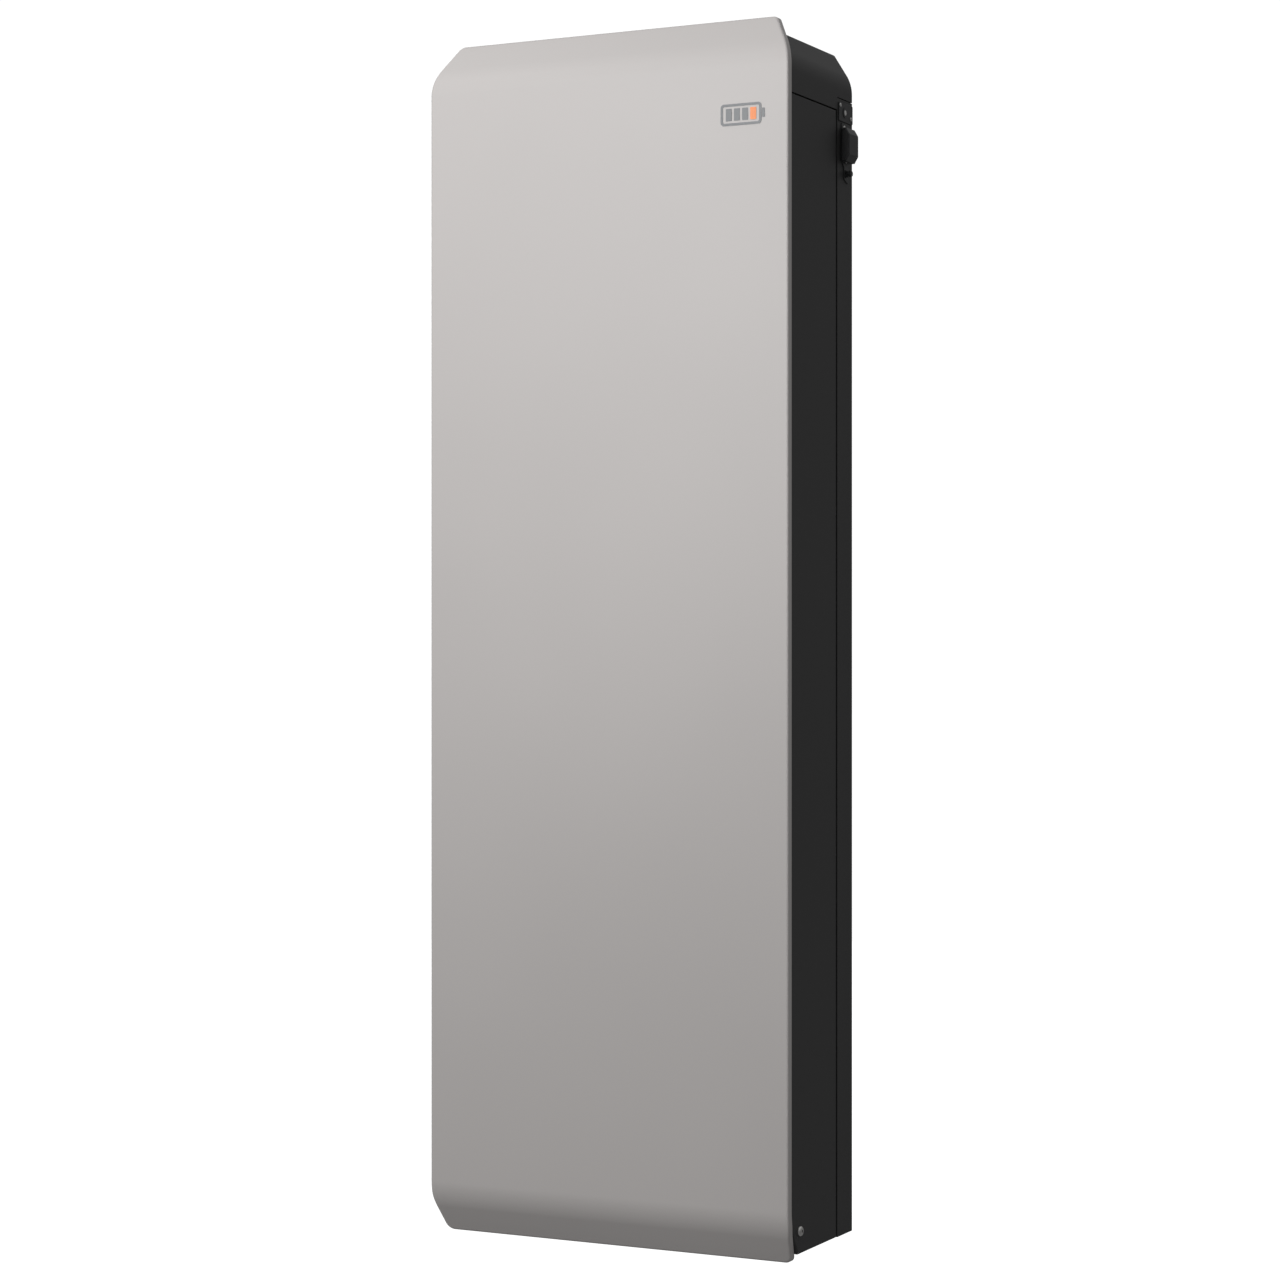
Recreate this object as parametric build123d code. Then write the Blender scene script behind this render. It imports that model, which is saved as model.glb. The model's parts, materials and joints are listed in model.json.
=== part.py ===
from build123d import *
import math
import os

# Wall battery unit.
# Millimetres. +Z is up, +X is to the right of a person who faces the front cover, and the wall is at +Y.
# Pieces are drawn with Y = 0 at the cover's front plane and Z = 0 half way up the cover. save() then moves
# them back by the unit's depth, so that the origin lies on the wall, in the middle of the wall bolts.

# Driving dimensions
cover_width = 568.0
cover_height = 1727.0
unit_depth = 254.0
stand_off = 21.0
sheet = 2.0

# Front cover
cover_sheet = 1.5
return_depth = 12.0
edge_radius = 3.0
lean_height = 54.0
lean_depth = 34.0
lean_radius = 76.0
taper_height = 54.0
taper_radius = 76.0
top_taper = 32.0
bottom_taper = 10.0
corner_radius = 12.0
seal_gap = 1.5

# Cabinet
body_half = 282.0
body_top = 842.5
body_bottom = -851.5
cap_seam = 753.5
rear_seam = 771.5
joint_gap = 1.5
seam_gap = 3.5
seam_depth = 177.0
rear_depth = unit_depth - stand_off
cap_chamfer_width = 28.0
cap_chamfer_height = 44.5
cap_round = 55.0
panel_flange = 20.0
chassis_ledge = 10.0
body_front = return_depth + seal_gap

# Inner front panel
inner_panel_half = (276.0, 790.0)
gasket_width = 12.0
gasket_thick = 3.0
panel_screw = 2.5
stud_spot = (215.0, 700.0)

# Battery modules: two deep on each of three shelves
module_size = (440.0, 84.0, 449.0)
module_fronts = (34.0, 122.0)
module_stud_x = 170.0
shelf_levels = (-790.0, -300.0, 190.0)
shelf_half = 261.0
shelf_span = (30.0, 222.0)
shelf_lip = 12.0

# Wall rails
bolt_half_x = 203.2
bolt_half_z = 560.0
bolt_radius = 5.5
rail_half = 240.0
rail_sheet = 3.0

# Disconnect switch on the right side
switch_y = 205.0
switch_z = 701.0
handle_size = (11.2, 30.0, 48.0)
handle_base = 3.6
grip_rise = 4.0
grip_reach = 4.0
plate_thick = 1.6
shaft_radius = 4.0
lock_pin_z = 665.0
button_z = 752.0
button_y = 201.5
running_gap = 0.05

# Cover screws, M8 button heads
cover_screw_spot = (43.0, -819.4)
cover_screw_radius = 4.0
tab_half = 12.0
tab_inset = 8.0

# Bottom fittings
hub_thread = 16.0
hub_bore = 13.3
hub_length = 22.0
hub_neck = 12.0
hub_spots = ((-150.0, 110.0), (150.0, 110.0))
vent_spot = (0.0, 110.0)
vent_thread = 6.0

# Electronics bay, above the modules
plate_x = (-256.0, 190.0)
plate_z = (662.0, 832.0)
plate_front = 196.0
fuse_x = 150.0
fuse_pin_radius = 3.0
fuse_pivot_z = 684.0
choke_spot = (60.0, 710.0)
terminal_z = 690.0

harness_spot = (-250.0, 163.0)

# Badge
badge_spot = (213.0, 725.0)

half_width = cover_width / 2
half_height = cover_height / 2
bay_back = plate_front - 0.05


# Helpers -----------------------------------------------------------------------------------------

def block(x, y, z):
    """A box between the two ends given for each axis."""
    size = [end - start for start, end in (x, y, z)]
    centre = [(end + start) / 2 for start, end in (x, y, z)]
    return Pos(*centre) * Box(*size)


def along_x(shape, start, end):
    """A sketch whose axes are Y and Z, run along X."""
    return extrude(Plane((start, 0, 0), x_dir=(0, 1, 0), z_dir=(1, 0, 0)) * shape, end - start)


def along_y(shape, start, end):
    """A sketch whose axes are X and Z, run along Y."""
    return extrude(Plane((0, end, 0), x_dir=(1, 0, 0), z_dir=(0, -1, 0)) * shape, end - start)


def along_z(shape, start, end):
    """A sketch whose axes are X and Y, run along Z."""
    return extrude(Plane((0, 0, start)) * shape, end - start)


def disc(spot, radius):
    return Pos(*spot) * Circle(radius)


def outline(points, rounds=()):
    """A closed outline with some of its corners rounded, each given as (corner, radius)."""
    shape = make_face(Polyline(*points, close=True))
    for corner, radius in rounds:
        spot = (corner[0], corner[1], 0)
        shape = fillet(shape.vertices().sort_by_distance(spot)[0], radius)
    return shape


def folded(points, thickness):
    """The section of a folded sheet whose middle line goes through the points."""
    return trace(Polyline(*points), thickness)


def both_sides(piece):
    return [piece, mirror(piece, Plane.YZ)]


def group(pieces):
    """Separate solids that share one node."""
    solids = []
    for piece in pieces:
        solids.extend(piece.solids())
    return Compound(children=solids)


def save(name, piece):
    export_step(Pos(0, -unit_depth, 0) * piece, os.path.join("parts", name + ".step"))


def pan_screw(spot, radius, length, start):
    """A pan-head screw along Y, its head in front of y = start and its shank behind."""
    head = along_y(disc(spot, radius * 1.9), start - radius * 1.2, start)
    head = fillet(head.faces().sort_by(Axis.Y)[0].edges(), radius * 0.5)
    drive = along_y(Pos(*spot) * RegularPolygon(radius * 0.6, 6), start - radius * 1.2, start - radius * 0.4)
    return head + along_y(disc(spot, radius), start, start + length) - drive


def side_screw(spot, radius, length, head_radius, head_height, start):
    """A button-head screw along X, its head outside x = start and its shank inside."""
    head = along_x(disc(spot, head_radius), start, start + head_height)
    head = fillet(head.faces().sort_by(Axis.X)[-1].edges(), head_height * 0.8)
    drive = along_x(Pos(*spot) * RegularPolygon(radius * 0.62, 6), start + head_height * 0.4, start + head_height)
    return head - drive + along_x(disc(spot, radius), start - length, start)


# Front cover -------------------------------------------------------------------------------------

def cover_outline(inset):
    """The cover seen from the front: its upper corners taper in a lot, its lower ones a little."""
    bend = half_height - taper_height
    right = [
        (half_width - bottom_taper, -half_height),
        (half_width, -bend),
        (half_width, bend),
        (half_width - top_taper, half_height),
    ]
    left = [(-x, z) for x, z in reversed(right)]
    radii = [corner_radius, taper_radius, taper_radius, corner_radius]
    rounds = list(zip(right, radii)) + list(zip(left, reversed(radii)))
    shape = outline(right + left, rounds)
    return offset(shape, -inset) if inset else shape


def front_band(start, end):
    """Side view of a band that follows the cover's front face, from start to end behind it."""
    bend = half_height - lean_height
    lean = lean_depth / lean_height
    reach = half_height + 2 * corner_radius
    tip = lean * (reach - bend)
    front = [(start + tip, -reach), (start, -bend), (start, bend), (start + tip, reach)]
    back = [(end + tip, reach), (end, bend), (end, -bend), (end + tip, -reach)]
    rounds = [(point, lean_radius) for point in (front[1], front[2], back[1], back[2])]
    return outline(front + back, rounds)


def in_front_of_body(gap):
    """Everything in front of a surface that lies the gap behind the cover's rear edge."""
    return along_x(front_band(-unit_depth, return_depth + gap), -cover_width, cover_width)


def cover_slab(inset, depth):
    slab = along_y(cover_outline(inset), -unit_depth, unit_depth)
    return slab & along_x(front_band(inset, depth), -cover_width, cover_width)


def front_lean_at(z):
    """How far the cover's front face lies behind its front plane at a height, on the straight parts."""
    past_bend = abs(z) - (half_height - lean_height)
    return max(0.0, past_bend * lean_depth / lean_height)


def front_cover():
    outer = cover_slab(0, return_depth)
    rim = []
    for edge in outer.edges():
        spot = edge @ 0.5
        end_a, end_b = edge @ 0, edge @ 1
        on_front = all(
            abs(point.Y - front_lean_at(point.Z)) < return_depth / 3 for point in (spot, end_a, end_b)
        )
        across = abs(end_a.X + end_b.X) < 1 and abs(spot.Z) < half_height - 1
        if on_front and not across:
            rim.append(edge)
    outer = fillet(rim, edge_radius)
    return outer - cover_slab(cover_sheet, 2 * return_depth)


def cover_side_tabs():
    """Slotted tabs, open to the rear, that the cover's two side screws clamp."""
    y, z = cover_screw_spot
    start = body_half - tab_inset
    end = start + sheet
    skin = cover_sheet + 0.05
    foot = along_x(front_band(skin, skin + sheet), start - tab_half, end)
    foot &= block((0, body_half), (0, unit_depth), (z - tab_half, z + tab_half))
    blade = block((start, end), (0, y + 16), (z - tab_half, z + tab_half))
    blade -= along_x(front_band(-unit_depth, skin), 0, body_half)
    slot = block((start - 1, end + 1), (y, y + 20), (z - 4.4, z + 4.4))
    slot += along_x(disc((y, z), 4.4), start - 1, end + 1)
    return group(both_sides(foot + blade - slot))


def stud(spot):
    """A ball stud on the back of the cover."""
    base = along_y(disc(spot, 12), cover_sheet, cover_sheet + 2)
    stem = along_y(disc(spot, 4), cover_sheet, 17)
    ball = Pos(spot[0], 18, spot[1]) * Sphere(4.6)
    return base + stem + ball


def stud_grommet(spot):
    """A rubber socket in the inner panel that a ball stud snaps into."""
    front = body_front - gasket_thick - sheet - 0.1
    ring = along_y(disc(spot, 12), front - 2, front) + along_y(disc(spot, 8), front, front + 12)
    hole = along_y(disc(spot, 5), front - 3, front + 13)
    return ring - hole


def stud_spots():
    x, z = stud_spot
    return [(sx * x, sz * z) for sx in (-1, 1) for sz in (-1, 1)]


def badge_outline():
    """A generic battery pictogram: an empty battery outline with its terminal."""
    frame = RectangleRounded(62, 30, 5) - RectangleRounded(55, 23, 2.5)
    tip = Pos(34, 0) * RectangleRounded(4.4, 13, 1)
    return [along_y(Pos(*badge_spot) * shape, -0.6, -0.05) for shape in (frame, tip)]


def badge_bars(indexes):
    lefts = [badge_spot[0] + 12.4 * (i - 1.5) for i in indexes]
    bars = [Pos(x, badge_spot[1]) * RectangleRounded(9, 17, 1) for x in lefts]
    return [along_y(bar, -0.6, -0.05) for bar in bars]


# Cabinet sheet metal -----------------------------------------------------------------------------

def panel_screw_spots():
    """The inner panel's screws, down both sides and along the top and bottom."""
    x, z = 269.0, 775.0
    rows = [-700, -420, -140, 140, 420, 700]
    sides = [(sx * x, row) for sx in (-1, 1) for row in rows]
    ends = [(column, z) for column in (-180, 0, 180)]
    ends += [(column, -z) for column in (-180, 0, 180)]
    return sides + ends


def panel_screw_holes(start, end):
    holes = [along_y(disc(spot, panel_screw + 0.1), start, end) for spot in panel_screw_spots()]
    return group(holes)


def cap_section(inset):
    """The cap seen from the front: chamfered down both sides."""
    side = body_half - inset
    top = body_top - inset
    shoulder = body_top - cap_chamfer_height
    slope = cap_chamfer_width / cap_chamfer_height
    shift = inset * (math.hypot(1, slope) - 1) / slope
    corner = (side, shoulder - shift)
    tip = (side - (top - corner[1]) * slope, top)
    foot = (side, cap_seam - inset)
    points = [foot, corner, tip, (-tip[0], top), (-corner[0], corner[1]), (-foot[0], foot[1])]
    return outline(points, [(corner, cap_round - inset), ((-corner[0], corner[1]), cap_round - inset)])


def top_cap():
    outer = along_y(cap_section(0), 0, rear_depth) - in_front_of_body(seal_gap)
    inner = along_y(cap_section(sheet), 0, rear_depth - sheet) - in_front_of_body(seal_gap + sheet)
    rear_cut = block((-cover_width, cover_width), (seam_depth, unit_depth), (cap_seam - 1, rear_seam))
    floor_cut = block((-body_half + sheet, body_half - sheet), (body_front + sheet, rear_depth - sheet),
                      (cap_seam - 2 * sheet, cap_seam + sheet))
    cap = outer - inner - rear_cut - floor_cut
    for screw in cap_screw_spots():
        cap -= along_y(disc(screw, 2.6), rear_depth - 5, rear_depth + 1)
    return cap - panel_screw_holes(body_front - 1, body_front + 8)


def cap_screw_spots():
    return [(x, 790.0) for x in (-200, 0, 200)]


def cap_upstand():
    """A strip that stands up from the rear chassis inside the cap, closes its rear seam and takes its screws."""
    half = body_half - sheet - chassis_ledge - 2
    z = cap_screw_spots()[0][1]
    strip = block((-half, half), (rear_depth - 2 * sheet - 0.1, rear_depth - sheet - 0.1), (740, z + 14))
    for spot in cap_screw_spots():
        strip -= along_y(disc(spot, 2.6), rear_depth - 10, rear_depth)
    return strip


def side_panel():
    """The right side panel: a web with its four edges turned in."""
    profile = outline([
        (body_front, cap_seam - joint_gap),
        (seam_depth - seam_gap, cap_seam - joint_gap),
        (seam_depth - seam_gap, body_bottom),
        (0, body_bottom),
        (0, 0),
        (body_front, 0),
    ])
    inner = offset(profile, -sheet)
    inside = body_half - panel_flange
    tray = along_x(profile, inside, body_half) - in_front_of_body(seal_gap)
    pocket = along_x(inner, inside - 1, body_half - sheet) - in_front_of_body(seal_gap + sheet)
    y, z = cover_screw_spot
    tab_notch = block((inside - 1, body_half - sheet - 0.5), (0, y), (z - tab_half - 2, z + tab_half + 2))
    screw_hole = along_x(disc((y, z), cover_screw_radius + 0.2), inside, body_half + 1)
    panel = tray - pocket - tab_notch - screw_hole
    return panel - panel_screw_holes(body_front - 1, body_front + 8)


def bottom_panel():
    """The bottom sheet, with a front lip that follows the lean of the cover, and its conduit holes."""
    floor = body_bottom + sheet + sheet / 2 + 0.1
    front = body_front + 4 * sheet
    bend = half_height - lean_height
    lean = lean_depth / lean_height
    foot = front + lean * (abs(floor) - bend) + 1.2
    rear = seam_depth - seam_gap - 2 * sheet
    section = folded([(rear, floor + 30), (rear, floor), (foot, floor), (front, -bend), (front, -760)], sheet)
    panel = along_x(section, -body_half + sheet + 1, body_half - sheet - 1)
    for x, y in hub_spots:
        panel -= along_z(disc((x, y), hub_thread + 0.3), floor - 5, floor + 5)
    panel -= along_z(disc(vent_spot, vent_thread + 0.2), floor - 5, floor + 5)
    y, z = cover_screw_spot
    notch = block((body_half - tab_inset - 3, body_half), (0, y + 22), (z - tab_half - 3, z + tab_half + 3))
    panel = panel - notch - mirror(notch, Plane.YZ)
    return panel - panel_screw_holes(body_front - 1, body_front + 8)


def rear_chassis():
    """The rear tray, open to the front and under the cap, that carries everything and hangs on the wall."""
    top = rear_seam - joint_gap
    outer = block((-body_half, body_half), (seam_depth, rear_depth), (body_bottom, top))
    inner = block((-body_half + sheet, body_half - sheet), (seam_depth - 1, rear_depth - sheet),
                  (body_bottom + sheet, top - sheet))
    tray = outer - inner
    cut_x = (body_half - sheet - 1, body_half + 1)
    tray -= along_x(disc((switch_y, switch_z), 6), *cut_x)
    tray -= along_x(disc((switch_y, lock_pin_z), 4), *cut_x)
    tray -= along_x(disc((button_y, button_z), 5.2), *cut_x)
    for y, z, radius in escutcheon_screw_spots() + bezel_screw_spots():
        tray -= along_x(disc((y, z), radius + 0.1), *cut_x)
    for x, z in lower_screw_spots():
        tray -= along_y(disc((x, z), 3.2), rear_depth - 5, rear_depth + 1)
    under_cap = body_half - sheet - chassis_ledge
    tray -= block((-under_cap, under_cap), (seam_depth - 1, rear_depth - sheet), (top - 2 * sheet, top + 1))
    floor = body_bottom + sheet
    backing = (seam_depth - seam_gap + 0.3, seam_depth + 10)
    tray += block((-body_half + sheet, body_half - sheet), backing, (floor, floor + sheet))
    return group([tray, cap_upstand()])


def inner_front_panel():
    """The screwed and gasketed panel that closes the cabinet behind the cover."""
    half_x, half_z = inner_panel_half
    rear = body_front - gasket_thick
    panel = along_y(RectangleRounded(2 * half_x, 2 * half_z, 6), rear - sheet, rear)
    for spot in stud_spots():
        panel -= along_y(disc(spot, 8.1), 0, rear + 1)
    for x in (-150, 150):
        bead = along_y(Pos(x, 0) * RectangleRounded(60, 2 * half_z - 260, 12), rear, rear + 3)
        panel -= along_y(Pos(x, 0) * RectangleRounded(56, 2 * half_z - 264, 10), rear - 3, rear + 1)
        panel += bead
    return panel - panel_screw_holes(0, rear + 1)


def front_gasket():
    half_x, half_z = inner_panel_half
    frame = Rectangle(2 * half_x - 4, 2 * half_z - 4)
    frame -= Rectangle(2 * (half_x - gasket_width - 2), 2 * (half_z - 2 * gasket_width))
    seal = along_y(frame, body_front - gasket_thick + 0.05, body_front - 0.05)
    return seal - panel_screw_holes(0, unit_depth)


# Bottom fittings ---------------------------------------------------------------------------------

def conduit_hub(spot):
    """A rain-tight conduit hub, clamped through the bottom panel by its locknut."""
    floor = body_bottom + sheet + 0.1
    barrel = along_z(disc(spot, 21), floor - hub_length + hub_neck, floor - 4)
    flange = along_z(Pos(*spot) * RegularPolygon(26, 8), floor - 4, floor)
    neck = along_z(disc(spot, hub_thread), floor - 1, floor + hub_neck)
    bore = along_z(disc(spot, hub_bore), floor - hub_length, floor + hub_neck + 1)
    return barrel + flange + neck - bore


def hub_nut(spot):
    floor = body_bottom + 2 * sheet + 0.1
    nut = Pos(*spot) * (RegularPolygon(24, 6) - Circle(hub_thread + 0.05))
    return along_z(nut, floor + 0.05, floor + 6)


def conduit_plug():
    """Closes the left hub until it is used."""
    spot = hub_spots[0]
    floor = body_bottom + sheet + 0.1
    low = floor - hub_length + hub_neck
    head = along_z(Pos(*spot) * RegularPolygon(20, 6), low - 4, low - 0.05)
    return head + along_z(disc(spot, hub_bore - 0.05), low - 1, low + 14)


def breather_vent():
    """A membrane vent that lets the cabinet breathe and keeps water out."""
    floor = body_bottom + sheet + 0.1
    head = along_z(disc(vent_spot, 11), floor - 8, floor - 0.05)
    for turn in range(8):
        angle = math.radians(45 * turn)
        spot = (vent_spot[0] + 12 * math.cos(angle), vent_spot[1] + 12 * math.sin(angle))
        head -= along_z(disc(spot, 2.4), floor - 9, floor - 2)
    return head + along_z(disc(vent_spot, vent_thread), floor - 1, floor + 10)


# Wall rails --------------------------------------------------------------------------------------

def rail_bolt_holes():
    holes = []
    for x in (-bolt_half_x, bolt_half_x):
        for z in (-bolt_half_z, bolt_half_z):
            holes.append(along_y(disc((x, z), bolt_radius), unit_depth - 10, unit_depth + 1))
    return group(holes)


def upper_wall_rail():
    """The rail that the unit hangs on: its lip stands off the wall."""
    wall = unit_depth - rail_sheet / 2
    lip = unit_depth - 13.5
    section = folded([(wall, 500), (wall, 600), (lip, 612), (lip, 646.3)], rail_sheet)
    return along_x(section, -rail_half, rail_half) - rail_bolt_holes()


def hanging_cleat():
    """The hook across the back of the chassis that drops over the upper rail's lip."""
    front = rear_depth + rail_sheet / 2 + 0.05
    hook = unit_depth - 8
    section = folded([(front, 540), (front, 648), (hook, 648), (hook, 625)], rail_sheet)
    return along_x(section, -rail_half + 15, rail_half - 15)


def lower_screw_spots():
    return [(-120.0, -605.0), (120.0, -605.0)]


def lower_wall_rail():
    """The rail that holds the bottom of the unit off the wall and takes its two locking screws."""
    wall = unit_depth - rail_sheet / 2
    front = rear_depth + rail_sheet / 2 + 0.05
    section = folded([(wall, -520), (wall, -580), (front, -580), (front, -625)], rail_sheet)
    rail = along_x(section, -rail_half, rail_half) - rail_bolt_holes()
    for x, z in lower_screw_spots():
        rail -= along_y(disc((x, z), 3.2), rear_depth - 1, unit_depth)
    return rail


def lower_rail_screws():
    return group([pan_screw(spot, 3.0, 14, rear_depth - sheet - 0.05) for spot in lower_screw_spots()])


# Shelves and battery modules ---------------------------------------------------------------------

def shelf(level):
    """A folded shelf with turned-down lips and wire slots at its sides."""
    start, end = shelf_span
    section = folded([(start, level - shelf_lip), (start, level), (end, level), (end, level - shelf_lip)], sheet)
    plate = along_x(section, -shelf_half, shelf_half)
    for side in (-1, 1):
        for y in (75, 165):
            slot = Pos(side * 246, y) * RectangleRounded(24, 50, 8)
            plate -= along_z(slot, level - 3, level + 3)
    return plate


def module_case(front, level):
    """A sealed module: ribbed front, top rim, and two stud wells on top."""
    width, depth, height = module_size
    low = level + sheet / 2 + 0.1
    case = block((-width / 2, width / 2), (front, front + depth), (low, low + height))
    case = fillet(case.edges().filter_by(Axis.Z), 6)
    for x in range(-3, 4):
        groove = block((x * 58 - 14, x * 58 + 14), (front - 1, front + 2.5), (low + 40, low + height - 60))
        case -= groove
    for x in (-module_stud_x, module_stud_x):
        case -= along_z(disc((x, front + depth / 2), 14), low + height - 12, low + height + 1)
    grip = block((-55, 55), (front - 1, front + 14), (low + height - 38, low + height - 14))
    return case - fillet(grip.edges().filter_by(Axis.Y), 8)


def module_top(level):
    return level + sheet / 2 + 0.1 + module_size[2]


def module_terminals():
    """Threaded brass studs in the wells, two on each module."""
    studs = []
    for level in shelf_levels:
        top = module_top(level)
        for front in module_fronts:
            for x in (-module_stud_x, module_stud_x):
                spot = (x, front + module_size[1] / 2)
                stud_body = along_z(Pos(*spot) * RegularPolygon(9, 6), top - 11.95, top - 4)
                studs.append(stud_body + along_z(disc(spot, 4), top - 5, top + 12))
    return group(studs)


def module_links():
    """Copper bars from the front module to the rear one on each shelf, on the left studs."""
    bars = []
    for level in shelf_levels:
        top = module_top(level)
        near, far = [front + module_size[1] / 2 for front in module_fronts]
        bar = block((-module_stud_x - 11, -module_stud_x + 11), (near - 14, far + 14), (top + 0.1, top + 3.1))
        bar = fillet(bar.edges().filter_by(Axis.Z), 8)
        for y in (near, far):
            bar -= along_z(disc((-module_stud_x, y), 4.1), top, top + 4)
        bars.append(bar)
    return group(bars)


def retaining_bars():
    """One bar across the front of each shelf, bolted to the shelf, that keeps its modules in."""
    bars = []
    for level in shelf_levels:
        z = level + 70
        section = folded([(module_fronts[0] - 5, z - 12), (module_fronts[0] - 5, z + 12)], 3)
        bar = along_x(section, -238, 238)
        for side in (-1, 1):
            leg = block((side * 232 - 6, side * 232 + 6), (module_fronts[0] - 6.5, module_fronts[0] - 3.5),
                        (level + sheet / 2 + 0.1, z + 12))
            foot = block((side * 232 - 6, side * 232 + 6), (module_fronts[0] - 6.5, module_fronts[0] + 10),
                         (level + sheet / 2 + 0.1, level + sheet / 2 + 2.1))
            bar += leg + foot
        bars.append(bar)
    return group(bars)


# Electronics bay ---------------------------------------------------------------------------------

def standoff_spots():
    return [(x, z) for x in (-249, 182) for z in (690, 815)]


def electronics_plate():
    plate = block(plate_x, (plate_front, plate_front + 2.5), plate_z)
    for spot in standoff_spots():
        plate -= along_y(disc(spot, 3.2), plate_front - 1, plate_front + 4)
    return plate


def plate_standoffs():
    posts = []
    for spot in standoff_spots():
        post = along_y(Pos(*spot) * RegularPolygon(6, 6), plate_front + 2.55, rear_depth - sheet - 0.05)
        posts.append(post + along_y(disc(spot, 3), plate_front - 5, plate_front + 3))
    return group(posts)


def contactor(x):
    """A sealed contactor: square foot, round can and two screw terminals."""
    z = 770.0
    base = plate_front - 0.05
    foot = along_y(Pos(x, z) * RectangleRounded(62, 62, 6), base - 6, base)
    can = along_y(disc((x, z), 27), base - 62, base - 6)
    head = along_y(Pos(x, z) * RectangleRounded(58, 36, 5), base - 78, base - 62)
    body = foot + can + head
    for side in (-16, 16):
        body += along_y(disc((x + side, z), 4), base - 90, base - 70)
    return body


def control_board():
    """The battery control board on its four plastic legs."""
    board = block((-240, -110), (plate_front - 14.6, plate_front - 13), (680, 820))
    for spot in [(x, z) for x in (-234, -116) for z in (686, 814)]:
        board += along_y(disc(spot, 3.5), plate_front - 13.1, bay_back)
    return board


def board_parts():
    """Chips, connectors and heat-sink blocks on the control board."""
    face = plate_front - 14.65
    pieces = [
        block((-200, -176), (face - 3, face), (740, 764)),
        block((-160, -136), (face - 3, face), (700, 716)),
        block((-235, -222), (face - 12, face), (700, 760)),
        block((-150, -118), (face - 12, face), (800, 812)),
    ]
    for column in range(5):
        pieces.append(along_y(disc((-200 + 16 * column, 790), 5), face - 14, face))
    for fin in range(6):
        pieces.append(block((-170 + 8 * fin, -167 + 8 * fin), (face - 20, face), (728, 768)))
    return group(pieces)


def fuse_base():
    """The fixed half of a swing-out fuse holder, with two cheeks that hold the carrier's pivot."""
    body = block((fuse_x - 22, fuse_x + 22), (bay_back - 40, bay_back), (fuse_pivot_z - 10, fuse_pivot_z + 76))
    body -= block((fuse_x - 14, fuse_x + 14), (bay_back - 41, bay_back - 8), (fuse_pivot_z - 11, fuse_pivot_z + 68))
    pivot = disc((bay_back - 32, fuse_pivot_z), fuse_pin_radius + running_gap)
    return body - along_x(pivot, fuse_x - 30, fuse_x + 30)


def fuse_carrier():
    """The swinging half, which carries the fuse link."""
    z = fuse_pivot_z
    body = block((fuse_x - 13, fuse_x + 13), (bay_back - 52, bay_back - 26), (z + 1, z + 64))
    body += along_x(disc((bay_back - 32, z), 6), fuse_x - 13, fuse_x + 13)
    body += block((fuse_x - 9, fuse_x + 9), (bay_back - 66, bay_back - 50), (z + 50, z + 60))
    body -= along_z(disc((fuse_x, bay_back - 26), 9.2), z + 9.5, z + 50)
    return body + along_x(disc((bay_back - 32, z), fuse_pin_radius), fuse_x - 21, fuse_x + 21)


def fuse_link():
    z = fuse_pivot_z
    body = along_z(disc((fuse_x, bay_back - 26), 8.4), z + 17, z + 42)
    for start in (z + 9.6, z + 42):
        body += along_z(disc((fuse_x, bay_back - 26), 9.1), start, start + 7.5)
    return body


def choke_core():
    x, z = choke_spot
    return Pos(x, bay_back - 12.2, z) * Rot(90, 0, 0) * Torus(22, 8)


def choke_windings():
    """Turns of heavy enamelled wire round the ring core."""
    x, z = choke_spot
    turns = []
    for turn in range(10):
        ring = Rot(0, 36 * turn, 0) * Pos(22, 0, 0) * Torus(10.1, 1.8)
        turns.append(Pos(x, bay_back - 12.2, z) * ring)
    return group(turns)


def terminal_block():
    """Output terminals with a row of clamping screws."""
    body = block((-90, 0), (bay_back - 44, bay_back - 9.1), (terminal_z - 22, terminal_z + 22))
    for cell in range(6):
        x = -82.5 + 15 * cell
        body -= block((x - 4.5, x + 4.5), (bay_back - 45, bay_back - 20), (terminal_z - 15, terminal_z - 4))
        body -= along_y(disc((x, terminal_z + 8), 4), bay_back - 45, bay_back - 30)
    return body


def terminal_rail():
    """The top-hat rail that the terminal block clips on."""
    z = terminal_z
    section = folded([(bay_back - 8, z - 17), (bay_back - 8, z - 13), (bay_back - 0.6, z - 13),
                      (bay_back - 0.6, z + 13), (bay_back - 8, z + 13), (bay_back - 8, z + 17)], 1.0)
    return along_x(section, -98, 8)


def ground_bar():
    bar = block((-240, -130), (bay_back - 14, bay_back), (666, 676))
    for cell in range(7):
        bar -= along_z(disc((-230 + 15 * cell, bay_back - 7), 2.5), 660, 680)
    return bar


def signal_harness():
    """The lead that runs down the left wire way behind the modules' side faces, past every shelf."""
    x, y = harness_spot
    route = FilletPolyline((-215, 160, 655), (x, y, 610), (x, y, -640), (-225, y, -665), radius=(25, 25))
    section = Plane(origin=route @ 0, z_dir=route % 0) * Circle(3.5)
    return sweep(section, path=route)


def harness_clips():
    x, y = harness_spot
    clips = []
    for z in (500, 20, -460):
        pad = block((-body_half + sheet + 0.1, x + 5), (y - 5, y + 5), (z - 6, z + 6))
        clips.append(pad - along_z(disc(harness_spot, 3.6), z - 7, z + 7))
    return group(clips)


# Disconnect switch -------------------------------------------------------------------------------

def escutcheon_screw_spots():
    return [(switch_y - 7.0, switch_z + 29.0, 1.9), (switch_y, switch_z - 18.0, 1.5)]


def bezel_screw_spots():
    return [(switch_y - 21.0, button_z + 9.0, 1.6), (switch_y + 17.5, button_z - 6.0, 1.6)]


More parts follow.
